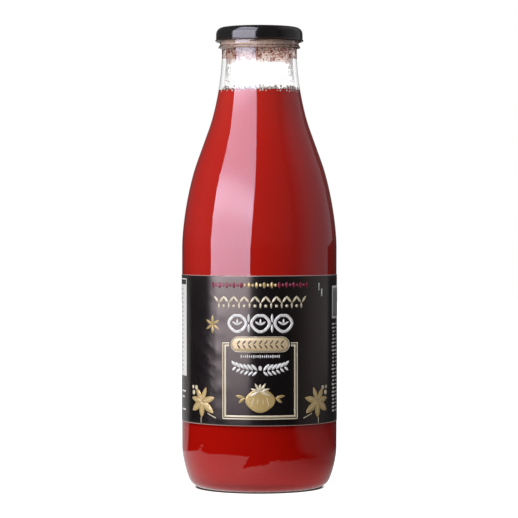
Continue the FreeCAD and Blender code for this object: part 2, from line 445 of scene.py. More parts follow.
def copied(faces, mesh, placed):  # adds faces to another mesh, with their corners moved by a function
    corners = {v: mesh.verts.new(placed(v.co)) for v in dict.fromkeys(v for f in faces for v in f.verts)}
    for f in faces:
        mesh.faces.new([corners[v] for v in f.verts])
    return corners


def makePiece(name, mesh, material, replaces=None):
    for face in mesh.faces:
        face.smooth = True
    data = bpy.data.meshes.new(name)
    mesh.to_mesh(data)
    mesh.free()
    data.materials.append(material)
    piece = bpy.data.objects.new(name, data)
    scene.collection.objects.link(piece)
    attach(piece, "root")
    if replaces:
        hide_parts(replaces)
    print(name, "made,", len(data.polygons), "faces")
    return piece


# the glass bottle

bottle = {
    "body": 43.6,
    "bodyTop": 134.1,
    "neck": 21.15,
    "neckStart": 242.6,
    "wall": 2.25,
    "lean": math.radians(19.9),  # of the shoulder's slant
    "swelling": 143.07,
    "hollow": 121.87,
    "heelRadius": 42.7,
    "heelHeight": 22.4,
    "baseRounding": 6.6,
    "punt": 31.5,
    "puntHeight": 3.4,
    "floorMiddle": 7.4,
    "floorEdge": 5.2,
    "floorRadius": 31.85,
    "innerHeelHeight": 15.0,
    "beadStart": 246.1,
    "beadRounded": 0.5,  # heights above the bead's start
    "beadEnd": 0.9,
    "finishStart": 2.3,
    "bead": 23.1,
    "finish": 22.2,
    "rim": 257.95,
    "steps": 224,
    "heelWaves": 0.05,
    "heelWaveWidth": 11,
    "heelTop": 34,  # where the waves end
    "surfaceWaves": 26.3,  # the width of the faint waves that only show as reflections
    "threads": 4,
    "threadDepth": 1.3,
    "threadMiddle": 252.5,
    "threadWidth": 1.65,
    "threadSpan": 104,
    "threadDrop": 5.1,
    "threadEnd": -16,
    "threadRunOut": 11,  # degrees
}
bottle["bore"] = bottle["neck"] - bottle["wall"]
bottle["hollowCentre"] = bottle["neck"] + bottle["hollow"]


def shoulderCorners(inset):  # from the body's upright line along the slant to the neck's, drawn in by the inset
    half = math.tan(bottle["lean"] / 2)
    swelling = bottle["swelling"] - inset
    hollow = bottle["hollow"] + inset
    return [
        (bottle["body"] - inset, bottle["bodyTop"] + swelling * half, swelling, 26),
        (bottle["neck"] - inset, bottle["neckStart"] - hollow * half, hollow, 26),
    ]


def domeCorner(radius, edgeHeight, middleHeight):  # where a shallow dome's level middle meets its edge's slope
    rise = middleHeight - edgeHeight
    sphere = (radius**2 + rise**2) / (2 * rise)
    return (sphere * math.tan(math.asin(radius / sphere) / 2), middleHeight, sphere, 10)


def innerWall(inset):  # from the middle of the inner floor out and up to the neck
    spread = inset - bottle["wall"]  # below zero where a filling reaches into the glass
    level = bottle["floorEdge"] + spread
    wide = bottle["body"] - bottle["wall"] - bottle["floorRadius"]
    heel = [
        (
            bottle["floorRadius"] + (wide - spread) * math.sin(math.radians(t)),
            level + bottle["innerHeelHeight"] * (1 - math.cos(math.radians(t))),
        )
        for t in range(0, 91, 9)
    ]
    middle = bottle["floorMiddle"] + spread
    return [(0, middle), domeCorner(bottle["floorRadius"], level, middle)] + heel + shoulderCorners(inset)


def neckWall(height):  # the inner wall's radius in the neck and the top of the shoulder
    if height >= bottle["neckStart"]:
        return bottle["bore"]
    reach = bottle["hollow"] + bottle["wall"]
    return bottle["hollowCentre"] - math.sqrt(reach**2 - (bottle["neckStart"] - height) ** 2)


def bottleGlass():
    heel, rounding = bottle["heelRadius"], bottle["baseRounding"]
    heelTurn = math.asin((bottle["heelHeight"] - rounding) / (heel - rounding))
    baseCorner = bottle["body"] - heel + (heel - rounding) * math.cos(heelTurn)
    baseCorner += rounding * math.tan((math.pi / 2 - heelTurn) / 2)
    outside = [
        (0, bottle["puntHeight"]),
        domeCorner(bottle["punt"], 0, bottle["puntHeight"]),
        (bottle["punt"], 0),
        (baseCorner, 0, rounding, 8),
        (bottle["body"], bottle["heelHeight"] - heel * math.tan(heelTurn / 2), heel, 20),
        *shoulderCorners(0),
        (bottle["neck"], bottle["beadStart"], 0.3, 3),
        (bottle["bead"], bottle["beadStart"] + bottle["beadRounded"], 0.18, 3),
        (bottle["bead"], bottle["beadStart"] + bottle["beadEnd"], 0.18, 3),
        (bottle["finish"], bottle["beadStart"] + bottle["finishStart"], 0.8, 5),
        (bottle["finish"], bottle["rim"], 1.7, 6),
        (bottle["bore"], bottle["rim"], 0.8, 5),
    ]
    mesh = turnedOutline(outside + innerWall(bottle["wall"])[::-1])
    upright = [e for e in mesh.edges if all(abs(v.co.x - bottle["finish"] * mm) < 1e-6 for v in e.verts)]
    bmesh.ops.subdivide_edges(mesh, edges=[e for e in upright if e.calc_length() > 3 * mm], cuts=22)
    tall = [e for e in mesh.edges if e.calc_length() > 30 * mm]
    bmesh.ops.subdivide_edges(mesh, edges=tall, cuts=12)
    spinRound(mesh, bottle["steps"])
    finishLow = bottle["beadStart"] + bottle["finishStart"] + 0.1
    for v in mesh.verts:
        radius, height = math.hypot(v.co.x, v.co.y), v.co.z / mm
        if radius > (bottle["finish"] - 0.01) * mm and height > finishLow:
            out = threadHeight(math.degrees(math.atan2(v.co.y, v.co.x)), height)
        elif radius > (bottle["body"] - 3) * mm and height < bottle["heelTop"]:  # chilled fast, so a little wavy
            share = max(0.0, min(1.0, (height - 4) / 8, (bottle["heelTop"] - height) / 10))
            wave = noise.noise(v.co / (bottle["heelWaveWidth"] * mm)) + 1
            out = -bottle["heelWaves"] * share * wave
        else:
            continue
        v.co.x, v.co.y = v.co.x * (1 + out * mm / radius), v.co.y * (1 + out * mm / radius)
    return mesh


def threadHeight(angle, height):  # right-hand threads that run out at both ends
    best = 0.0
    span = bottle["threadSpan"]
    for i in range(bottle["threads"]):
        along = (angle - bottle["threadEnd"] - 360 / bottle["threads"] * i) % 360
        if along < span:
            ends = min(1.0, along / bottle["threadRunOut"], (span - along) / bottle["threadRunOut"])
            middle = bottle["threadMiddle"] + bottle["threadDrop"] * (along / span - 0.5)
            off = abs(height - middle) / (bottle["threadWidth"] / 2)
            best = max(best, bottle["threadDepth"] * ends * min(1.0, max(0.0, 1.5 - off)))
    return best


def lampAndBounce(tree):  # 1 for a shadow or for bounced light, 0 for what the eye or a reflection sees
    path = addNode(tree, "LightPath").outputs
    return addNode(tree, "Math", {0: path["Is Shadow Ray"], 1: path["Is Diffuse Ray"]}, operation="MAXIMUM")


def letsLightThrough(tree, body, colour):
    clear = addNode(tree, "BsdfTransparent", {"Color": colour})
    mixed = addNode(tree, "MixShader", {0: lampAndBounce(tree), 1: body, 2: clear})
    addNode(tree, "OutputMaterial", {"Surface": mixed})


# soda-lime container glass, blown in a mould: clear and smooth, faintly wavy, a touch of grey green in its thickness
def containerGlass():
    material, tree = newMaterial("containerGlass")
    place = addNode(tree, "TexCoord").outputs["Object"]
    scale = 1000 / bottle["surfaceWaves"]
    waves = addNode(tree, "TexNoise", {"Vector": place, "Scale": scale, "Detail": 1.0, "Roughness": 0.4})
    bump = addNode(tree, "Bump", {"Strength": 0.12, "Distance": 0.0006, "Height": waves})
    slant = addNode(tree, "LayerWeight", {"Blend": 0.5})
    thick = rampStops(
        addNode(tree, "ValToRGB", {"Fac": slant.outputs["Facing"]}),
        [(0.55, linear("#FFFFFF")), (1.0, linear("#B9C6BC"))],
    )
    glass = addNode(
        tree,
        "BsdfPrincipled",
        {"Base Color": thick, "Roughness": 0.0, "IOR": 1.52, "Transmission Weight": 1.0, "Normal": bump},
    )
    letsLightThrough(tree, glass, linear("#FBFDFC"))
    return material


makePiece("clearGlass", bottleGlass(), containerGlass(), "glass_bottle")

# the juice

juice = {
    "reach": 0.15,  # into the wall, so that glass and juice meet without a gap
    "level": 222.3,
    "meniscusRise": 0.5,
    "meniscusWidth": 2.2,
    "steps": 192,
    "pulp": 1.11,  # drawn coarser than the real pulp, so that it shows
    "clouds": 40,
}


def juiceBody():
    inset = bottle["wall"] - juice["reach"]
    mesh = turnedOutline(innerWall(inset) + [(bottle["neck"] - inset, bottle["rim"])])
    top = (juice["level"] + juice["meniscusRise"]) * mm
    tall = [e for e in mesh.edges if e.calc_length() > 30 * mm]
    bmesh.ops.subdivide_edges(mesh, edges=tall, cuts=8)
    whole = mesh.verts[:] + mesh.edges[:]
    bmesh.ops.bisect_plane(mesh, geom=whole, plane_co=(0, 0, top), plane_no=(0, 0, 1), clear_outer=True)
    last = max(mesh.verts, key=lambda v: v.co.z)
    wall = last.co.x / mm
    for t in range(75, -1, -15):
        out = wall - juice["meniscusWidth"] * (1 - math.sin(math.radians(t)))
        up = juice["level"] + juice["meniscusRise"] * (1 - math.cos(math.radians(t)))
        step = mesh.verts.new((out * mm, 0, up * mm))
        mesh.edges.new((last, step))
        last = step
    mesh.edges.new((last, mesh.verts.new((0, 0, juice["level"] * mm))))
    spinRound(mesh, juice["steps"])
    return mesh


# strained tomato juice: an opaque, pulpy red liquid, wetted on to the glass, so it has no gloss of its own; its red is
# painted darker towards the bottom and lighter at the top, as painted shade and light
def tomatoJuice():
    material, tree = newMaterial("tomatoJuice")
    place = addNode(tree, "TexCoord").outputs["Object"]
    parts = addNode(tree, "SeparateXYZ", {"Vector": place}).outputs
    up = addNode(tree, "MapRange", {"Value": parts["Z"], "From Min": 0.0, "From Max": juice["level"] * mm})
    # painted shade and light: the red darkens towards the bottom and brightens near the top
    depth = rampStops(
        addNode(tree, "ValToRGB", {"Fac": up}),
        [(0.1, linear("#AA0F08")), (0.5, linear("#BE1D14")), (0.85, linear("#C61E15")), (1.0, linear("#CB2A1F"))],
    )
    scale = 1000 / juice["pulp"]
    pulp = addNode(tree, "TexNoise", {"Vector": place, "Scale": scale, "Detail": 3.0, "Roughness": 0.6})
    clouds = addNode(tree, "TexNoise", {"Vector": place, "Scale": 1000 / juice["clouds"], "Detail": 2.0})
    both = addNode(tree, "Mix", {"Factor": 0.4, 2: pulp, 3: clouds}, data_type="FLOAT")
    levels = {"To Min": 0.93, "To Max": 1.05}
    strength = addNode(tree, "MapRange", {"Value": both, "From Min": 0.3, "From Max": 0.7, **levels})
    colour = addNode(tree, "VectorMath", {0: depth, "Scale": strength}, operation="SCALE")
    surface = {"Base Color": colour, "Roughness": 0.5, "Specular IOR Level": 0.0, "IOR": 1.35}
    body = addNode(tree, "BsdfPrincipled", surface)
    addNode(tree, "OutputMaterial", {"Surface": body})
    return material


makePiece("juiceFill", juiceBody(), tomatoJuice(), "tomato_juice")

# what clings to the neck's inside: a smear of juice and condensed drops below it
smear = {
    "low": 233.5,
    "high": 256.6,
    "thickness": 0.1,
    "sunk": 0.02,
    "edge": 240.0,  # where it thins out at the front; it reaches lower at the sides by the drop
    "softEdge": 1.5,
    "drop": 4.0,
    "even": 247.0,  # above this it is even and pale, partly a paler film and partly painted light under the lid
    "softEven": 0.5,
    "cell": 0.85,
    "clump": 4.35,
    "reach": 20.5,  # about the neck's radius
}


def neckSmear():
    heights = [smear["low"] + (smear["high"] - smear["low"]) * i / 20 for i in range(21)]
    outer = [(neckWall(z) + smear["sunk"], z) for z in heights]
    inner = [(r - smear["thickness"], z) for r, z in outer[::-1]]
    mesh = turnedOutline(outer + inner + outer[:1])
    spinRound(mesh, 128)
    return mesh


# dried tomato on glass: a translucent brownish pink film of specks with darker rims, which most light gets through; its
# even pale band under the lid is partly the film's colour and partly painted light
def smearedJuice():
    material, tree = newMaterial("smearedTomato")
    place = addNode(tree, "TexCoord").outputs["Object"]
    parts = addNode(tree, "SeparateXYZ", {"Vector": place}).outputs
    cells = addNode(tree, "TexVoronoi", {"Vector": place, "Scale": 1000 / smear["cell"], "Randomness": 1.0})
    scale = 1000 / smear["clump"]
    clumps = addNode(tree, "TexNoise", {"Vector": place, "Scale": scale, "Detail": 3.0, "Roughness": 0.7})
    width = addNode(tree, "Math", {0: parts["X"]}, operation="ABSOLUTE")
    across = addNode(tree, "Math", {0: width, 1: 1 / (smear["reach"] * mm)}, operation="MULTIPLY")
    bowed = addNode(tree, "Math", {0: across, 1: 4.0}, operation="POWER")
    height = addNode(tree, "Math", {0: bowed, 1: smear["drop"] * mm, 2: parts["Z"]}, operation="MULTIPLY_ADD")
    low, high = (smear["edge"] - smear["softEdge"]) * mm, (smear["edge"] + smear["softEdge"]) * mm
    up = addNode(tree, "MapRange", {"Value": height, "From Min": low, "From Max": high, "To Min": -0.7, "To Max": 0.8})
    patchy = addNode(tree, "Math", {0: clumps, 1: 1.6, 2: -0.8}, operation="MULTIPLY_ADD")
    cover = addNode(tree, "Math", {0: up, 1: patchy}, operation="ADD", use_clamp=True)
    rims = addNode(tree, "Math", {0: cells, 1: 1.3, 2: patchy}, operation="MULTIPLY_ADD")
    speckled = rampStops(
        addNode(tree, "ValToRGB", {"Fac": rims}),
        [
            (0.35, (1.0, 0.97, 0.95, 1)),
            (0.6, (0.97, 0.87, 0.83, 1)),
            (0.8, (0.8, 0.58, 0.52, 1)),
            (1.0, (0.52, 0.32, 0.28, 1)),
        ],
    )
    low, high = (smear["even"] - smear["softEven"]) * mm, (smear["even"] + smear["softEven"]) * mm
    even = addNode(tree, "MapRange", {"Value": parts["Z"], "From Min": low, "From Max": high})
    tint = addNode(tree, "Mix", {"Factor": even, 6: speckled, 7: (0.99, 0.95, 0.93, 1)}, data_type="RGBA")
    filtered = addNode(tree, "Mix", {"Factor": cover, 6: (1, 1, 1, 1), 7: tint.outputs[2]}, data_type="RGBA")
    film = addNode(tree, "BsdfTransparent", {"Color": filtered.outputs[2]})
    colour = rampStops(
        addNode(tree, "ValToRGB", {"Fac": rims}),
        [(0.35, linear("#FFF3EA")), (0.6, linear("#F6D2C4")), (0.8, linear("#B06A5A")), (1.0, linear("#6E352A"))],
    )
    # painted light: the band under the lid is painted pale cream, partly the film's own colour
    coat = addNode(tree, "Mix", {"Factor": even, 6: colour, 7: linear("#FFDCCC")}, data_type="RGBA")
    cloudy = addNode(tree, "MapRange", {"Value": even, "To Min": 0.65, "To Max": 0.0})
    surface = {"Base Color": coat.outputs[2], "Roughness": 0.5, "IOR": 1.2, "Transmission Weight": cloudy}
    body = addNode(tree, "BsdfPrincipled", surface)
    thinner = addNode(tree, "MapRange", {"Value": even, "To Min": 0.42, "To Max": 0.92})
    solid = addNode(tree, "Math", {0: cover, 1: thinner}, operation="MULTIPLY")
    thick = addNode(tree, "MapRange", {"Value": lampAndBounce(tree), "To Min": 1.0, "To Max": 0.15})
    blocking = addNode(tree, "Math", {0: solid, 1: thick}, operation="MULTIPLY")
    mixed = addNode(tree, "MixShader", {0: blocking, 1: film, 2: body})
    addNode(tree, "OutputMaterial", {"Surface": mixed})
    return material


makePiece("neckSmear", neckSmear(), smearedJuice())


pattern = bmesh.new()
bmesh.ops.create_uvsphere(pattern, u_segments=8, v_segments=6, radius=mm)
bmesh.ops.rotate(pattern, verts=pattern.verts[:], matrix=Matrix.Rotation(math.radians(90), 3, "X"))


def bead(mesh, azimuth, height, size, off, flat=1.0):  # a small ball with its middle this far in from the wall
    radius = neckWall(height) - off
    turn = math.radians(azimuth)
    place = Matrix.Translation(Vector((math.sin(turn) * radius, -math.cos(turn) * radius, height)) * mm)
    place = place @ Matrix.Rotation(turn, 4, "Z") @ Matrix.Diagonal((size, size * flat, size, 1))
    return copied(pattern.faces, mesh, lambda corner: place @ corner)


foam = {  # each row is how many in a round, their height, from and to in size, and how far in from the wall
    "rows": ((66, 221.9, 0.5, 0.8, -0.14), (64, 223.1, 0.65, 0.95, 0.0), (52, 224.3, 0.4, 0.7, 0.15)),
    "large": ((-24, 1.35), (-17, 0.9), (8, 0.8), (16, 1.25), (21, 0.85), (41, 0.85)),  # azimuth, size
    "largeHeight": 223.1,
    "largeSunk": 0.2,  # as a share of their size
    "clearing": 2.2,  # degrees without small bubbles beside a large one, for each millimetre of its size
    "uneven": 0.3,
    "bare": (-100, -46),  # an azimuth range with few bubbles
    "bareShare": 0.7,
    "tint": 2.38,
}


def foamRing():  # each bubble's skin runs from 0 where it is nearest the glass to 1 around its side
    mesh = bmesh.new()
    skin = mesh.verts.layers.float.new("skin")
    places = [(azimuth, foam["largeHeight"], size, foam["largeSunk"] * size) for azimuth, size in foam["large"]]
    for count, height, small, large, off in foam["rows"]:
        for i in range(count):
            azimuth = (i + random.uniform(-foam["uneven"], foam["uneven"])) * 360 / count - 180
            covered = any(abs(azimuth - other) < size * foam["clearing"] for other, size in foam["large"])
            if covered or (foam["bare"][0] < azimuth < foam["bare"][1] and random.random() < foam["bareShare"]):
                continue
            up = height + random.uniform(-foam["uneven"], foam["uneven"])
            places.append((azimuth, up, random.uniform(small, large), off))
    for place in places:
        for corner, made in bead(mesh, *place).items():
            made[skin] = min(1.0, 1 + corner.co.y / mm)
    return mesh


# foam on the juice: small bubbles with films that are reddish brown at their sides, partly their colour and partly
# painted shade, and pale middles that are painted light coming through them
def juiceFoam():
    material, tree = newMaterial("juiceFoam")
    place = addNode(tree, "TexCoord").outputs["Object"]
    varied = addNode(tree, "TexNoise", {"Vector": place, "Scale": 1000 / foam["tint"], "Detail": 1.0})
    skin = addNode(tree, "Attribute", attribute_name="skin").outputs["Fac"]
    level = addNode(tree, "Math", {0: varied, 1: 0.5, 2: skin}, operation="MULTIPLY_ADD")
    # painted light and shade: pale in each bubble's middle, reddish brown towards its sides
    colour = rampStops(
        addNode(tree, "ValToRGB", {"Fac": level}),
        [(0.5, linear("#FFFCFA")), (0.68, linear("#EDB2A4")), (0.9, linear("#6A1E16"))],
    )
    levels = {"To Min": 0.75, "To Max": 1.0}
    cover = addNode(tree, "MapRange", {"Value": skin, "From Min": 0.1, "From Max": 0.9, **levels})
    body = addNode(tree, "BsdfPrincipled", {"Base Color": colour, "Roughness": 0.12, "IOR": 1.6, "Alpha": cover})
    addNode(tree, "OutputMaterial", {"Surface": body})
    return material


drops = {
    "count": 520,
    "small": 0.2,
    "large": 0.5,
    "flat": 0.55,
    "azimuths": (56, 124, 84),  # from, to and where they are thickest
    "heights": (226.4, 243.0, 235.0),
    "onRight": 0.62,  # the share of them on the right
    "tint": 3.33,
}


def condensation():
    mesh = bmesh.new()
    for i in range(drops["count"]):
        azimuth = random.triangular(*drops["azimuths"]) * (1 if random.random() < drops["onRight"] else -1)
        size = drops["small"] + (drops["large"] - drops["small"]) * random.random() ** 2
        height = random.triangular(*drops["heights"])
        bead(mesh, azimuth, height, size, size * drops["flat"] * 0.96, drops["flat"])
    return mesh


# water with a trace of juice in it: clear, rounded, bends the light behind it
def condensedWater():
    material, tree = newMaterial("condensedWater")
    place = addNode(tree, "TexCoord").outputs["Object"]
    tint = addNode(tree, "TexNoise", {"Vector": place, "Scale": 1000 / drops["tint"], "Detail": 1.0})
    colour = rampStops(addNode(tree, "ValToRGB", {"Fac": tint}), [(0.35, linear("#DDE4DA")), (0.7, linear("#FFFFFF"))])
    surface = {"Base Color": colour, "Roughness": 0.02, "IOR": 1.5, "Transmission Weight": 1.0}
    letsLightThrough(tree, addNode(tree, "BsdfPrincipled", surface), (1, 1, 1, 1))
    return material


makePiece("foamBubbles", foamRing(), juiceFoam())
makePiece("condensedDrops", condensation(), condensedWater())
pattern.free()

# the lid keeps its CAD shape: tinplate with a baked black lacquer, glossy and slightly orange-peeled, cream inside
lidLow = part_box("twist_lid")[0][2]
lid = {
    "insideReach": 0.02422,
    "insideLow": lidLow + 0.0009,
    "insideHigh": 0.2548,
    "curlLow": lidLow + 0.0007,  # the rolled edge, coloured browner
    "curlHigh": lidLow + 0.0014,
    "peel": 1.43,  # in millimetres
    "wear": 16.7,
}


def blackLacquer():
    material, tree = newMaterial("blackLacquerOnTinplate")
    place = addNode(tree, "TexCoord").outputs["Object"]
    peel = addNode(tree, "TexNoise", {"Vector": place, "Scale": 1000 / lid["peel"], "Detail": 2.0})
    bump = addNode(tree, "Bump", {"Strength": 0.015, "Distance": 0.0001, "Height": peel})
    wear = addNode(tree, "TexNoise", {"Vector": place, "Scale": 1000 / lid["wear"], "Detail": 4.0})
    gloss = addNode(tree, "MapRange", {"Value": wear, "To Min": 0.05, "To Max": 0.16})
    parts = addNode(tree, "SeparateXYZ", {"Vector": place}).outputs
    flat = addNode(tree, "VectorMath", {0: place, 1: (1.0, 1.0, 0.0)}, operation="MULTIPLY")
    reach = addNode(tree, "VectorMath", {0: flat}, operation="LENGTH").outputs["Value"]
    within = addNode(tree, "Math", {0: reach, 1: lid["insideReach"]}, operation="LESS_THAN")
    under = addNode(tree, "Math", {0: parts["Z"], 1: lid["insideHigh"]}, operation="LESS_THAN")
    over = addNode(tree, "Math", {0: parts["Z"], 1: lid["insideLow"]}, operation="GREATER_THAN")
    between = addNode(tree, "Math", {0: under, 1: over}, operation="MULTIPLY")
    inside = addNode(tree, "Math", {0: within, 1: between}, operation="MULTIPLY")
    edges = {"From Min": lid["curlLow"], "From Max": lid["curlHigh"]}
    curled = addNode(tree, "MapRange", {"Value": parts["Z"], **edges, "To Min": 1.0, "To Max": 0.0})
    colour = addNode(tree, "Mix", {"Factor": curled, 6: linear("#1B191B"), 7: linear("#30231D")}, data_type="RGBA")
    lined = addNode(tree, "Mix", {"Factor": inside, 6: colour.outputs[2], 7: linear("#FFF1E2")}, data_type="RGBA")
    body = addNode(
        tree,
        "BsdfPrincipled",
        {
            "Base Color": lined.outputs[2],
            "Roughness": gloss,
            "IOR": 1.5,
            "Specular Tint": (1.0, 0.94, 0.84, 1.0),
            "Normal": bump,
        },
    )
    addNode(tree, "OutputMaterial", {"Surface": body})
    return material


lidMaterials = frame["nodes"]["twist_lid"].data.materials
lidMaterials.clear()
lidMaterials.append(blackLacquer())
print("lid lacquered")

# the paper label and what is printed on it; places on the flat label are millimetres from the middle of its front

labelLow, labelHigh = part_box("wrap_label")
label = {
    "radius": 43.6,
    "paper": 0.15,
    "bottom": labelLow[2] / mm,
    "top": labelHigh[2] / mm,
    "lap": 8.0,
    "ramp": 3.0,
    "grid": 0.8,
    "sunk": 0.03,  # glued into the glass's skin
    "buckle": 0.03,
    "buckleWidth": 14,
    "flatEdge": 3,  # pressed down within this reach of its upper and lower edges
    "margin": 0.3,
    "fibres": 0.714,  # drawn coarser than real ones, so that they show
    "patches": 22.2,
    "inkGrain": 1.11,
    "creases": [  # from and to, then width and height
        (-23.2, 121, -22.0, 98, 3.5, 0.27),
        (-22.0, 98, -23.2, 78, 3.6, 0.3),
        (-23.2, 78, -22.2, 58, 3.5, 0.28),
        (-22.2, 58, -23.2, 36, 3.6, 0.22),
        (-43, 95, -33, 86, 1.1, 0.06),
        (-37, 91, -28, 97, 1.2, 0.055),
        (-40, 81, -30, 74, 1.0, 0.07),
        (-34, 84, -26, 79, 1.2, 0.05),
        (-45, 87, -38, 76, 1.3, 0.06),
        (-36, 101, -27, 104, 1.1, 0.045),
        (-33, 94, -26, 88, 1.0, 0.05),
        (-37, 70, -27, 64, 1.2, 0.05),
        (-33, 72, -25, 70, 1.0, 0.04),
        (-40, 66, -33, 58, 1.3, 0.045),
        (-31, 110, -24, 105, 1.2, 0.04),
        (-29, 60, -23, 53, 1.3, 0.035),
        (-38.5, 88, -34.5, 86.5, 0.5, 0.09),
        (30, 62, 38, 55, 2.0, 0.04),
    ],
}
halfTurn = math.pi * label["radius"]


def lift(along, up):  # how far the paper's face stands off its true cylinder
    off = label["buckle"] * (noise.noise(Vector((along / label["buckleWidth"], up / label["buckleWidth"], 3.0))) + 1)
    for x1, z1, x2, z2, width, height in label["creases"]:
        run = Vector((x2 - x1, z2 - z1))
        share = max(0.0, min(1.0, Vector((along - x1, up - z1)).dot(run) / run.length_squared))
        gap = (Vector((x1, z1)) + run * share - Vector((along, up))).length / width
        if gap < 3:
            off += height * math.exp(-gap * gap) * (1 - 0.4 * abs(2 * share - 1))
    fromEdge = min(up - label["bottom"], label["top"] - up)
    off *= min(1.0, max(0.0, fromEdge / label["flatEdge"]))
    climb = (along - halfTurn + label["ramp"]) / label["ramp"]
    return off + (label["paper"] + 0.01) * min(1.0, max(0.0, climb))


def drape(along, up, rise=0.0):
    radius = label["radius"] + label["paper"] + lift(along, up) + rise
    turn = along / label["radius"]
    return Vector((radius * math.sin(turn), -radius * math.cos(turn), up)) * mm


def faceOutwards(mesh):
    for face in mesh.faces:
        middle = face.calc_center_median()
        if face.normal.x * middle.x + face.normal.y * middle.y < 0:
            face.normal_flip()


def thicken(piece, thickness):
    solid = piece.modifiers.new("thickness", "SOLIDIFY")
    solid.thickness = thickness * mm
    solid.offset = -1
    return piece


def labelSheet():
    long = 2 * halfTurn + label["lap"]
    high = label["top"] - label["bottom"]
    mesh = bmesh.new()
    columns, rows = round(long / label["grid"]), round(high / label["grid"])
    bmesh.ops.create_grid(mesh, x_segments=columns, y_segments=rows, size=0.5)
    for v in mesh.verts:
        v.co = drape(-halfTurn + (v.co.x + 0.5) * long, label["bottom"] + (v.co.y + 0.5) * high)
    mesh.normal_update()
    faceOutwards(mesh)
    return mesh


# coated label paper, printed solid black and varnished: semi-gloss, faintly fibrous, pale at the cut edges, partly bare
# paper and partly a painted highlight
def blackLabelPaper():
    material, tree = newMaterial("varnishedBlackPaper")
    place = addNode(tree, "TexCoord").outputs["Object"]
    fibres = addNode(tree, "TexNoise", {"Vector": place, "Scale": 1000 / label["fibres"], "Detail": 3.0})
    softness = addNode(tree, "TexNoise", {"Vector": place, "Scale": 1000 / label["patches"], "Detail": 3.0})
    bump = addNode(tree, "Bump", {"Strength": 0.12, "Distance": 0.0001, "Height": fibres})
    gloss = addNode(tree, "MapRange", {"Value": softness, "To Min": 0.15, "To Max": 0.24})
    ink = rampStops(addNode(tree, "ValToRGB", {"Fac": softness}), [(0.3, linear("#141113")), (0.7, linear("#1A1618"))])
    parts = addNode(tree, "SeparateXYZ", {"Vector": place}).outputs
    middle = (label["top"] + label["bottom"]) / 2 * mm
    fromMiddle = addNode(tree, "Math", {0: parts["Z"], 1: middle}, operation="SUBTRACT")
    away = addNode(tree, "Math", {0: fromMiddle}, operation="ABSOLUTE")
    margin = ((label["top"] - label["bottom"]) / 2 - label["margin"]) * mm
    # the pale strip along the upper and lower edges is bare paper and a painted highlight
    bare = addNode(tree, "Math", {0: away, 1: margin}, operation="GREATER_THAN")
    colour = addNode(tree, "Mix", {"Factor": bare, 6: ink, 7: linear("#C9A8A0")}, data_type="RGBA")
    body = addNode(
        tree,
        "BsdfPrincipled",
        {
            "Base Color": colour.outputs[2],
            "Roughness": gloss,
            "IOR": 1.6,
            "Specular Tint": (1.0, 0.8, 0.64, 1.0),
            "Normal": bump,
        },
    )
    addNode(tree, "OutputMaterial", {"Surface": body})
    return material


blackLabel = makePiece("blackLabel", labelSheet(), blackLabelPaper(), "wrap_label")
thicken(blackLabel, label["paper"] + label["sunk"])


# printed shapes start flat, in the plane of the label


def blob(mesh, x, z, wide, high, outline=None, turn=0, points=32):  # outline gives the radius's share at an angle
    made = bmesh.ops.create_circle(mesh, cap_ends=True, segments=points, radius=1.0)["verts"]
    spin = Matrix.Rotation(math.radians(turn), 2)
    for v in made:
        angle = math.atan2(v.co.y, v.co.x)
        share = outline(angle) if outline else 1.0
        flat = spin @ Vector((math.cos(angle) * share * wide / 2, math.sin(angle) * share * high / 2))
        v.co = Vector((x + flat.x, z + flat.y, 0))
    return list({f for v in made for f in v.link_faces})


def bar(mesh, x, z, wide, high, turn=0, rounding=0.0):
    made = bmesh.ops.create_grid(mesh, x_segments=1, y_segments=1, size=0.5)["verts"]
    spin = Matrix.Rotation(math.radians(turn), 2)
    for v in made:
        flat = spin @ Vector((v.co.x * wide, v.co.y * high))
        v.co = Vector((x + flat.x, z + flat.y, 0))
    if rounding:
        made = bmesh.ops.bevel(
            mesh,
            geom=made,
            offset=rounding,
            offset_type="OFFSET",
            affect="VERTICES",
            segments=5,
            profile=0.5,
            material=-1,
        )["verts"]
    return list({f for v in made for f in v.link_faces})


def hollowed(mesh, faces, line):  # keeps only a line along the shape's edge
    rims = bmesh.ops.inset_region(mesh, faces=faces, thickness=line, use_boundary=True, use_even_offset=True)["faces"]
    bmesh.ops.delete(mesh, geom=[f for f in faces if f.is_valid], context="FACES")
    return rims


def islandsOf(mesh):  # the separate shapes of a flat print, as lists of faces
    seen = set()
    for start in mesh.faces:
        if start in seen:
            continue
        seen.add(start)
        found = [start]
        for face in found:
            for beside in (f for v in face.verts for f in v.link_faces if f not in seen):
                seen.add(beside)
                found.append(beside)
        yield found


def sliced(mesh, axis, step):  # cuts a flat shape into strips, so that it can follow the round face
    along = Vector((1, 0, 0)) if axis == 0 else Vector((0, 1, 0))
    spread = [v.co[axis] for v in mesh.verts]
    for i in range(math.floor(min(spread) / step) + 1, math.ceil(max(spread) / step)):
        parts = list(mesh.faces) + list(mesh.edges) + list(mesh.verts)
        bmesh.ops.bisect_plane(mesh, geom=parts, plane_co=along * i * step, plane_no=along)


def printOn(name, mesh, material, rise):  # cuts the flat shapes finely, wraps them and gives them thickness
    wrapped = bmesh.new()
    for island in islandsOf(mesh):
        shape = bmesh.new()
        copied(island, shape, lambda place: place)
        sliced(shape, 0, 1.0)
        sliced(shape, 1, 2.0)
        copied(shape.faces, wrapped, lambda place: drape(place.x, place.y, rise))
        shape.free()
    mesh.free()
    wrapped.normal_update()
    faceOutwards(wrapped)
    return thicken(makePiece(name, wrapped, material), rise + 0.05)


def leafShape(angle):  # pointed at both ends
    return 1 - 0.42 * abs(math.sin(angle)) ** 0.7 * (1 - abs(math.sin(angle)) * 0.1)


def lobed(angle):  # a ripe tomato seen from the side
    return 1 + 0.035 * math.cos(4 * angle) - 0.1 * math.exp(-((angle - math.pi / 2) ** 2) / 0.08)


def leaf(mesh, x, z, long, wide, turn):  # grows from x, z in the direction of turn
    out = math.radians(turn)
    return blob(mesh, x + math.cos(out) * long / 2, z + math.sin(out) * long / 2, long, wide, leafShape, turn, 24)


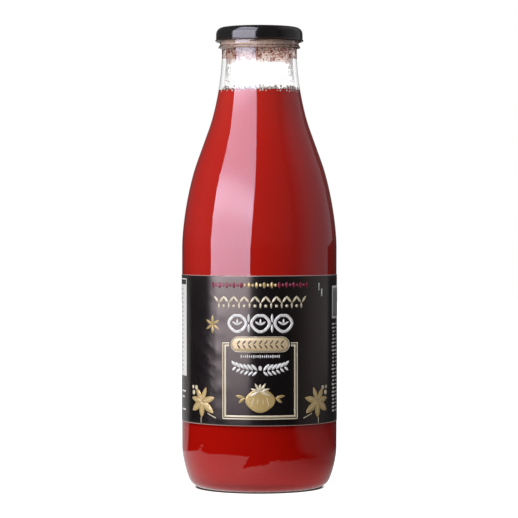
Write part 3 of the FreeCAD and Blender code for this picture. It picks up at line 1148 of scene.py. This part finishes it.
def ink(name, hexColour, metallic, roughness):  # printer's ink on coated paper, or a bronze-powder gold one
    material, tree = newMaterial(name)
    place = addNode(tree, "TexCoord").outputs["Object"]
    grain = addNode(tree, "TexNoise", {"Vector": place, "Scale": 1000 / label["inkGrain"], "Detail": 3.0})
    cover = addNode(tree, "MapRange", {"Value": grain, "To Min": 0.86, "To Max": 1.1})
    colour = addNode(tree, "VectorMath", {0: linear(hexColour)[:3], "Scale": cover}, operation="SCALE")
    bump = addNode(tree, "Bump", {"Strength": 0.1, "Distance": 0.0001, "Height": grain})
    surface = {"Base Color": colour, "Metallic": metallic, "Roughness": roughness, "Normal": bump}
    body = addNode(tree, "BsdfPrincipled", surface)
    addNode(tree, "OutputMaterial", {"Surface": body})
    return material


prints = {  # each ink's colour, how metallic and how rough it is, and how far it stands up
    "white": ("#FBF9FA", 0.0, 0.3, 0.04),
    "grey": ("#8C8A8C", 0.0, 0.35, 0.06),
    "faintGrey": ("#B4B2B4", 0.0, 0.35, 0.08),
    "gold": ("#CBAE74", 0.12, 0.3, 0.04),
    "paleGold": ("#EBDDC0", 0.06, 0.3, 0.07),
    "crimson": ("#8E2240", 0.0, 0.3, 0.04),
    "creamGold": ("#E6CDA4", 0.06, 0.3, 0.05),
    "darkBrown": ("#2A1C10", 0.0, 0.35, 0.08),
}
sheets = {name: bmesh.new() for name in prints}
white, grey, faint, gold, pale, crimson, cream, dark = sheets.values()

emblem = {
    "middle": 0.5,
    "left": -20.9,
    "right": 21.9,
    "low": 40.9,
    "high": 83.0,
    "bar": 33.0,  # its length
    "tomato": 51.4,  # heights of what the frame holds
    "laurel": 67.6,
    "dots": 75.4,
}
motifs = {"middle": 0.6, "ornaments": 93.6, "leaves": 104.8, "line": 114.4, "sprigs": 50.0}  # heights but for the first
panels = {"left": -75.7, "right": 74.4, "back": 122.0}

# the double frame, open at its head for a bar
for step, line in ((0.0, 0.6), (1.15, 1.05)):
    left, right = emblem["left"] + step, emblem["right"] - step
    low, high = emblem["low"] + step, emblem["high"] - step
    bar(pale, (left + right) / 2, low + line / 2, right - left, line)
    for x in (left + line / 2, right - line / 2):
        bar(pale, x, (low + high + line) / 2, line, high - low - line)
    inner = emblem["bar"] / 2 + 0.8
    for a, b in ((left + line, emblem["middle"] - inner), (emblem["middle"] + inner, right - line)):
        bar(pale, (a + b) / 2, high - line / 2, b - a, line)
barHeight = emblem["high"] - 1.0
hollowed(pale, bar(pale, emblem["middle"], barHeight, emblem["bar"], 8.6, rounding=4.25), 0.42)
bar(cream, emblem["middle"], barHeight, emblem["bar"] - 1.3, 7.3, rounding=3.6)
for i in range(-4, 5):
    for turn in (50, -50):
        leaf(dark, emblem["middle"] + i * 3.0 - 0.9, barHeight, 3.1, 1.3, turn)

# a tomato with its calyx, inside the frame
blob(gold, emblem["middle"], emblem["tomato"], 16.0, 13.0, lobed, points=64)
for x, turn, long in ((-4.2, 74, 5.4), (-1.4, 84, 3.6), (4.2, 104, 5.0), (1.6, 96, 3.4)):
    blob(pale, emblem["middle"] + x, emblem["tomato"] - 1.0, long, 0.5, turn=turn, points=20)
for turn in (20, 58, 90, 122, 160):
    leaf(pale, emblem["middle"], emblem["tomato"] + 4.6, 5.6 if turn != 90 else 4.4, 2.3, turn)
for turn in (-24, 204):
    leaf(pale, emblem["middle"], emblem["tomato"] + 4.9, 6.2, 2.4, turn)
for side in (-1, 1):
    for turn, long in ((12, 5.4), (-38, 4.6)):
        out = turn if side == 1 else 180 - turn
        leaf(gold, emblem["middle"] + side * 8.4, emblem["tomato"] + 1.4, long, 2.6, out)

# a laurel above it
for side in (-1, 1):
    for i in range(6):
        x, z = emblem["middle"] + side * (1.6 + i * 2.35), emblem["laurel"] + 0.1 * i * i
        leaf(white, x, z, 5.0 - 0.2 * i, 2.5, 90 - side * 42)
        leaf(white, x, z - 0.3, 3.8 - 0.15 * i, 2.1, -90 + side * 48)
blob(white, emblem["middle"], emblem["laurel"] + 1.4, 1.9, 2.6, points=16)
for i in range(-9, 10):
    blob(white, emblem["middle"] + i * 1.16, emblem["dots"], 0.75, 1.5 if i % 3 else 2.0, points=10)

# the large ornaments above the frame
for x in (-12.2, 0.6, 13.4):
    hollowed(white, blob(white, x, motifs["ornaments"], 11.0, 10.6, lobed, points=48), 1.6)
    for turn in (35, 90, 145):
        leaf(white, x, motifs["ornaments"] - 1.1, 3.6, 1.8, turn)
for x in (-5.8, 7.0):
    for turn in (90, 270):
        leaf(white, x, motifs["ornaments"] + (0.3 if turn == 90 else -0.3), 5.0, 2.2, turn)
for turn in (30, 90, 150, 210, 270, 330):
    leaf(gold, -27.4, motifs["ornaments"] - 1.0, 5.2, 2.2, turn)

# the row of leaves and berries
for i in range(-4, 5):
    x = motifs["middle"] + i * 5.9
    leaf(pale, x - 0.3, motifs["leaves"], 4.6, 2.1, 128)
    leaf(pale, x + 0.3, motifs["leaves"], 4.6, 2.1, 52)
    leaf(pale, x, motifs["leaves"] + 0.2, 3.4, 1.8, 270)
    if i < 4:
        blob(pale, x + 2.95, motifs["leaves"] - 1.8, 1.7, 1.7, points=16)

# the fine line at the head
for i in range(-13, 14):
    sheet = gold if abs(i) < 5 else crimson
    blob(sheet, motifs["middle"] + i * 2.1, motifs["line"], 1.6, 3.4 if i % 2 else 1.8, points=14)


def sprig(x, z, side):  # grows up from the foot; side is 1, or -1 for its mirror image
    for turn, long, wide in (
        (92, 9.0, 6.6),
        (36, 10.4, 6.4),
        (148, 10.2, 6.6),
        (-14, 9.6, 5.4),
        (-68, 8.6, 4.8),
        (-124, 8.8, 5.4),
        (190, 9.4, 5.0),
    ):
        out = -turn if side == 1 else turn - 180
        along = Vector((math.cos(math.radians(out)), math.sin(math.radians(out)))) * long * 0.42
        leaf(gold, x, z, long, wide, out)
        bar(pale, x + along.x, z + along.y, long * 0.62, 0.3, out)
    bar(pale, x + side * 7.2, z - 7.6, 6.4, 0.4, side * -22)
    bar(pale, x - side * 0.8, z - 10.4, 0.4, 3.2)
    for dx, dz, size in ((-7.4, 4.6, 2.6), (-4.9, 7.4, 2.4), (-8.0, 7.6, 2.0)):
        blob(pale, x + side * dx, z + dz, size, size, points=20)


sprig(-35.2, motifs["sprigs"], 1)
sprig(35.8, motifs["sprigs"], -1)

# the side panels: a white table on the left, an outlined box and a column of fine marks on the right
bar(white, panels["left"], 88.6, 48.0, 51.0)
hollowed(white, bar(white, panels["left"], 115.3, 48.0, 4.2, rounding=0.6), 0.6)
for row in range(19):
    up = 111.4 - row * 2.5
    for i in range(6):
        bar(faint, -97.5 + i * 7.6 + random.uniform(-0.5, 0.5), up, random.uniform(3.6, 6.4), 0.5)
bar(white, panels["right"], 104.2, 45.8, 18.4, rounding=0.8)
bar(grey, panels["right"], 104.2, 43.0, 15.6)
for i in range(15):
    bar(faint, 55.0 + i * 2.8, 104.2, 0.7, 13.0)
for row in range(24):
    up = 92.0 - row * 2.1
    bar(white, 53.6 + random.uniform(-0.4, 0.4), up, random.uniform(2.6, 4.6), 0.95)
    for i in range(5):
        bar(white, 60.0 + i * 7.2 + random.uniform(-0.5, 0.5), up, random.uniform(4.2, 6.2), 0.5)
for x, z, long in ((-56.5, 54.6, 7.0), (-57.4, 51.4, 5.0), (-56.0, 44.4, 6.0)):
    bar(white, x, z, long, 0.9, rounding=0.3)
for x, z in ((37.2, 113.2), (39.6, 110.0)):
    bar(white, x, z, 0.9, 4.2, rounding=0.3)

# the back: a pale field with a ruled block
bar(white, panels["back"], 61.0, 22.0, 30.0, rounding=0.8)
for row in range(7):
    bar(grey, panels["back"], 71.6 - row * 3.5, 17.0, 1.0)
hollowed(pale, bar(pale, panels["back"], 98.0, 22.0, 30.0, rounding=0.8), 0.5)
blob(gold, panels["back"], 97.0, 13.0, 11.4, lobed, points=48)

for name, (colour, metallic, roughness, rise) in prints.items():
    printOn(name + "Print", sheets[name], ink(name + "Ink", colour, metallic, roughness), rise)
